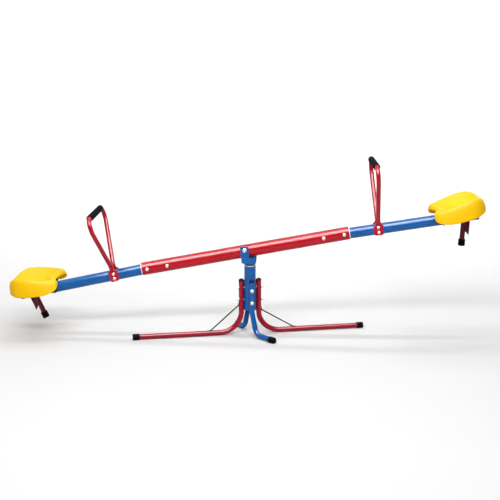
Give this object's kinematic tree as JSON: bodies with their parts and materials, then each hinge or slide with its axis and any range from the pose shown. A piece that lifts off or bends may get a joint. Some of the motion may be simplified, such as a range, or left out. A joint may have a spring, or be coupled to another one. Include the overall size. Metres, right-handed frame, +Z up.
{
  "type": "seesaw",
  "caption": "Rotating seesaw: a tilting tube beam with moulded seats, loop handles, foam grips and rubber bumpers, on a swivelling yoke and a post with bent legs.",
  "frame": {"origin": "the point on the floor under the post's axis, between the four feet", "axes": "+X along the beam towards its raised right end, +Y to the back, +Z up"},
  "size_m": [1.8031, 0.309, 0.6782],
  "materials": {
    "blue_paint": "gloss powder coat on steel",
    "crimson_paint": "gloss powder coat on steel",
    "red_paint": "gloss powder coat on steel",
    "maroon_paint": "satin powder coat on steel",
    "dark_paint": "dark brown powder coat on steel",
    "zinc": "zinc-plated steel",
    "nylon": "natural nylon",
    "yellow_plastic": "moulded polyethylene, satin",
    "foam": "closed-cell foam rubber",
    "black_rubber": "moulded rubber",
    "black_plastic": "moulded plastic"
  },
  "bodies": {
    "base": {"post_tube": "blue_paint", "leg_collar": "blue_paint", "leg_left": "crimson_paint", "leg_right": "crimson_paint", "leg_front": "blue_paint", "leg_rear": "blue_paint", "leg_top_plugs": "black_plastic", "foot_cap_left": "black_rubber", "foot_cap_right": "black_rubber", "foot_cap_front": "black_rubber", "foot_cap_rear": "black_rubber", "brace_rod_left": "dark_paint", "brace_rod_right": "dark_paint", "brace_screws": "zinc", "leg_bolts": "zinc", "leg_washers": "zinc", "leg_nuts": "zinc", "upper_bush": "nylon", "lower_bush": "nylon"},
    "head": {"yoke": "blue_paint", "spindle": "blue_paint", "spindle_washer": "zinc", "spindle_bolt": "zinc", "pivot_bolt": "zinc", "pivot_nut": "zinc"},
    "beam": {"centre_tube": "red_paint", "pivot_bush": "zinc", "left_arm_tube": "blue_paint", "right_arm_tube": "blue_paint", "left_sleeve": "nylon", "right_sleeve": "nylon", "sleeve_bolts": "zinc", "sleeve_nuts": "zinc", "left_end_plug": "black_plastic", "right_end_plug": "black_plastic", "left_handle": "crimson_paint", "right_handle": "crimson_paint", "left_grip": "foam", "right_grip": "foam", "handle_bolts": "zinc", "handle_nuts": "zinc", "left_seat": "yellow_plastic", "right_seat": "yellow_plastic", "left_seat_pad": "black_plastic", "right_seat_pad": "black_plastic", "seat_screws": "zinc", "left_bumper_tube": "maroon_paint", "right_bumper_tube": "maroon_paint", "left_bumper_gusset": "maroon_paint", "right_bumper_gusset": "maroon_paint", "left_bumper_cap": "black_rubber", "right_bumper_cap": "black_rubber"}
  },
  "joints": [
    {"name": "swivel", "type": "hinge", "parent": "base", "child": "head", "pos_m": [0, 0, 0.272], "axis": [0, 0, 1], "continuous": true},
    {"name": "tilt", "type": "hinge", "parent": "head", "child": "beam", "pos_m": [-0.02, 0, 0.336], "axis": [0, 1, 0], "range_deg": [-4, 25]}
  ]
}
